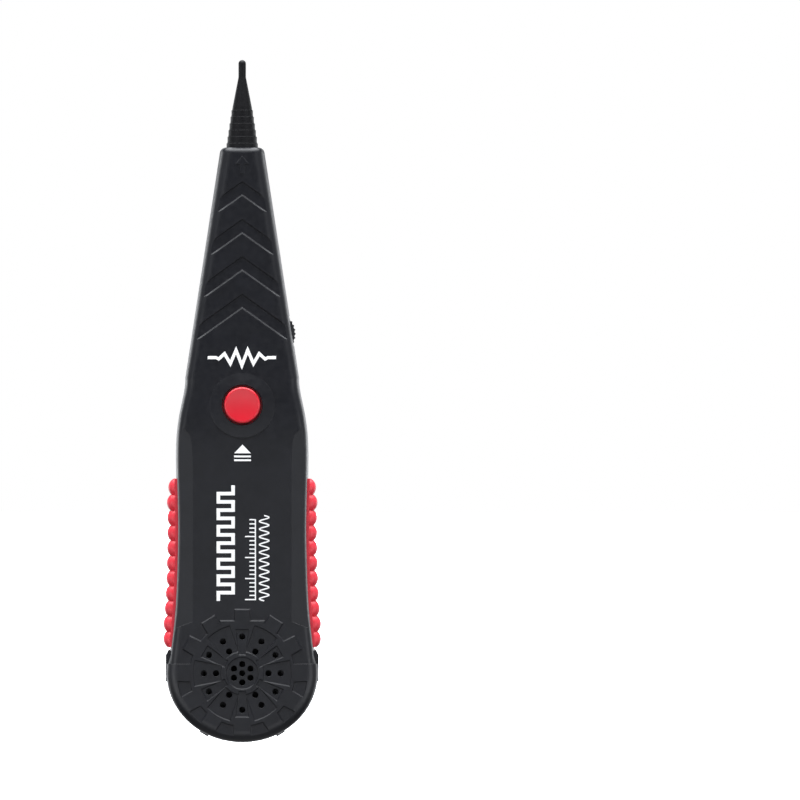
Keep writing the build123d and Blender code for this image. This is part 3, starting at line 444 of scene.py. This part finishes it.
def label_marks():
    """White rules and plain symbols of the rating label."""
    rules = [bar(x - 0.16, x + 0.16, 48.8, 84.5) for x in (3.76, 0.28, -3.18)]
    swell = [(-6.9 + swing, z) for z, swing in
             [(79.5, 0), (76.5, 0), (75.2, 1.5), (73.4, -1.9), (71.4, 2.0), (69.4, -2.0),
              (67.4, 2.0), (65.4, -1.9), (63.8, 1.5), (62.5, 0), (59.5, 0)]]
    pulses = [bar(-1.75, -1.15, z - long, z)
              for z, long in ((83.4, 2.2), (80.4, 0.8), (78.6, 0.8), (76.8, 2.2), (73.8, 0.8),
                              (72.0, 2.2))]
    battery = [bar(1.1, 1.4, 72.0, 82.4), bar(2.7, 3.0, 72.0, 82.4),
               bar(1.4, 2.7, 82.1, 82.4), bar(1.4, 2.7, 72.0, 72.3),
               bar(1.6, 2.5, 82.4, 83.4), bar(1.5, 2.6, 79.9, 80.2),
               bar(1.9, 2.2, 79.5, 80.6), bar(1.5, 2.6, 74.4, 74.7)]
    dashes = [bar(1.7, 2.3, z - 1.7, z) for z in (69.5, 66.5, 63.5, 60.5, 57.5)]
    boxed_dot = [bar(5.2, 5.6, 72.6, 75.6), bar(7.6, 8.0, 72.6, 75.6),
                 bar(5.6, 7.6, 75.2, 75.6), bar(5.6, 7.6, 72.6, 73.0),
                 bar(6.2, 7.0, 73.7, 74.5)]
    triangle = [(5.1, 65.4), (8.1, 65.4), (6.6, 68.4)]
    equals = [bar(5.2, 8.0, 60.9, 61.5), bar(5.2, 8.0, 59.4, 60.0)]
    plus = [bar(5.2, 8.0, 54.6, 55.2), bar(6.3, 6.9, 53.5, 56.3)]
    return (rules + [ribbon(swell, 0.75)] + pulses + battery + dashes
            + [disc(6.6, 80.2, 1.5)] + boxed_dot + [triangle] + equals + plus)


printed("front_print", front_marks(), "front_shell", -1, "housing", WHITE_INK)
printed("label_print_white", label_marks(), "rating_label", 1, "door", WHITE_INK)
printed("label_print_red", round_frame(9.7, 46.9, 87.0, 1.5, 0.5), "rating_label", 1,
        "door", RED_INK)


# ---- studio -----------------------------------------------------------------------------


def floor():
    mesh = bpy.data.meshes.new("floor")
    form = bmesh.new()
    bmesh.ops.create_circle(form, cap_ends=True, segments=96, radius=FLOOR_RADIUS)
    form.to_mesh(mesh)
    form.free()
    obj = bpy.data.objects.new("floor", mesh)
    bpy.context.scene.collection.objects.link(obj)
    obj.location = (0, 0, CAD_BOX[0].z - FLOOR_DROP)
    look = Look("floor_paper")
    cloud = look.noise(size_mm=400.0)
    look.colour(look.mixed(cloud, (0.86, 0.86, 0.86, 1), (0.9, 0.9, 0.9, 1)))
    look.set("Roughness", 0.9)
    look.bump(look.noise(2.0), 0.02)
    mesh.materials.append(look.material)
    obj.visible_glossy = False
    obj.visible_diffuse = False


def studio_world():
    """White to the camera; light comes from the four corners, above, the sides and below."""
    world = bpy.data.worlds.new("studio")
    world.use_nodes = True
    bpy.context.scene.world = world
    tree = world.node_tree
    tree.nodes.clear()
    output = tree.nodes.new("ShaderNodeOutputWorld")
    coords = tree.nodes.new("ShaderNodeTexCoord")
    split = tree.nodes.new("ShaderNodeSeparateXYZ")
    tree.links.new(coords.outputs["Generated"], split.inputs["Vector"])

    def math_node(kind, first, second=None):
        node = tree.nodes.new("ShaderNodeMath")
        node.operation = kind
        for index, value in enumerate((first, second)):
            if isinstance(value, bpy.types.NodeSocket):
                tree.links.new(value, node.inputs[index])
            elif value is not None:
                node.inputs[index].default_value = value
        return node.outputs["Value"]

    def ramp(value, start, end, low, high):
        node = tree.nodes.new("ShaderNodeMapRange")
        node.interpolation_type = "SMOOTHSTEP"
        tree.links.new(value, node.inputs["Value"])
        for name, number in (("From Min", start), ("From Max", end),
                             ("To Min", low), ("To Max", high)):
            node.inputs[name].default_value = number
        return node.outputs["Result"]

    # Each light is a ramp over the direction it comes from, up to its strength.
    x, y, z = (split.outputs[axis] for axis in "XYZ")
    corner = math_node("ABSOLUTE", math_node("MULTIPLY", x, y))
    boxes = math_node("MULTIPLY", ramp(corner, 0.34, 0.5, 0.0, 2.9),
                      ramp(z, 0.45, 0.0, 0.0, 1.0))
    top = ramp(z, 0.6, 0.9, 0.0, 8.5)
    behind = ramp(y, 0.93, 0.98, 0.0, 1.6)
    low_front = math_node("MULTIPLY", ramp(math_node("ABSOLUTE", y), 0.6, 0.95, 0.0, 1.0),
                          ramp(z, 0.05, -0.15, 0.0, 1.7))
    sides = ramp(math_node("ABSOLUTE", x), 0.75, 1.0, 0.04, 0.7)
    below = ramp(z, -0.5, -0.95, 0.0, 0.4)
    light = math_node("ADD", math_node("ADD", boxes, top), math_node("ADD", behind, low_front))
    light = math_node("ADD", light, math_node("ADD", sides, below))
    lamp = tree.nodes.new("ShaderNodeBackground")
    lamp.inputs["Color"].default_value = (0.95, 0.97, 1.0, 1)
    tree.links.new(light, lamp.inputs["Strength"])
    paper = tree.nodes.new("ShaderNodeBackground")
    paper.inputs["Color"].default_value = (1, 1, 1, 1)
    seen = tree.nodes.new("ShaderNodeLightPath")
    mix = tree.nodes.new("ShaderNodeMixShader")
    tree.links.new(seen.outputs["Is Camera Ray"], mix.inputs["Fac"])
    tree.links.new(lamp.outputs["Background"], mix.inputs[1])
    tree.links.new(paper.outputs["Background"], mix.inputs[2])
    tree.links.new(mix.outputs["Shader"], output.inputs["Surface"])


def camera():
    """Level and square to the front, turned a little so that the receiver stands at the left."""
    data = bpy.data.cameras.new("camera")
    data.lens = CAMERA_LENS
    obj = bpy.data.objects.new("camera", data)
    bpy.context.scene.collection.objects.link(obj)
    obj.location = (0, -CAMERA_DISTANCE, BASE + CAMERA_HEIGHT)
    obj.rotation_euler = (math.radians(90), 0, math.radians(CAMERA_TURN))
    bpy.context.scene.camera = obj


floor()
studio_world()
camera()
bpy.context.scene.view_settings.view_transform = "Standard"
